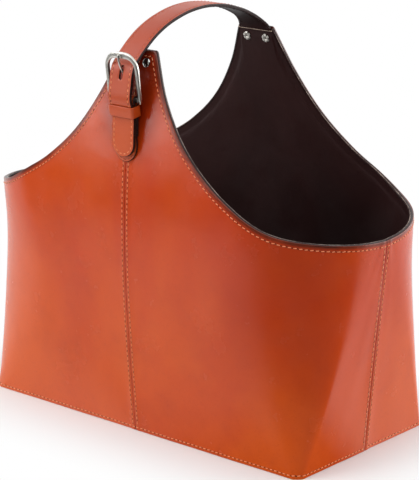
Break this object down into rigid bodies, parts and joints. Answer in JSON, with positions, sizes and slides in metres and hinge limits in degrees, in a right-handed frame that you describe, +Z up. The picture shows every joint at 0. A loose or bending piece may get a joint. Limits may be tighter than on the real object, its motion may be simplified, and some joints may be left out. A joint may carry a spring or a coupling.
{
  "type": "magazine basket",
  "caption": "Open leather basket with an oval rim, two tall ears, a dark lining and a strap handle that is riveted behind and buckled in front.",
  "frame": {"origin": "on the floor, under the middle of the base", "axes": "+X along the basket, -Y towards the front with the buckle, +Z up"},
  "size_m": [0.445, 0.2215, 0.4],
  "materials": {
    "leather_tan": "glossy finished orange-tan leather with a fine grain",
    "leather_dark": "matt dark brown lining leather",
    "board": "plain fibreboard, hidden between the leathers",
    "nickel": "polished nickel plate"
  },
  "bodies": {
    "basket": {"front_right_leather_panel": "leather_tan", "front_left_leather_panel": "leather_tan", "back_left_leather_panel": "leather_tan", "back_right_leather_panel": "leather_tan", "base_cover": "leather_tan", "handle_strap": "leather_tan", "buckle_chape": "leather_tan", "strap_keeper": "leather_tan", "front_lining": "leather_dark", "back_lining": "leather_dark", "floor_lining": "leather_dark", "handle_strap_lining": "leather_dark", "front_right_stiffener_board": "board", "front_left_stiffener_board": "board", "back_left_stiffener_board": "board", "back_right_stiffener_board": "board", "base_board": "board", "front_right_rivet": "nickel", "front_left_rivet": "nickel", "back_right_rivet": "nickel", "back_left_rivet": "nickel"},
    "buckle": {"buckle_frame": "nickel"},
    "prong": {"buckle_prong": "nickel"}
  },
  "joints": [
    {"name": "buckle_swing", "type": "hinge", "parent": "basket", "child": "buckle", "pos_m": [0, -0.10401, 0.325], "axis": [1, 0, 0], "range_deg": [0, 4]},
    {"name": "prong_swing", "type": "hinge", "parent": "buckle", "child": "prong", "pos_m": [0, -0.10401, 0.325], "axis": [1, 0, 0], "range_deg": [0, 5]}
  ]
}
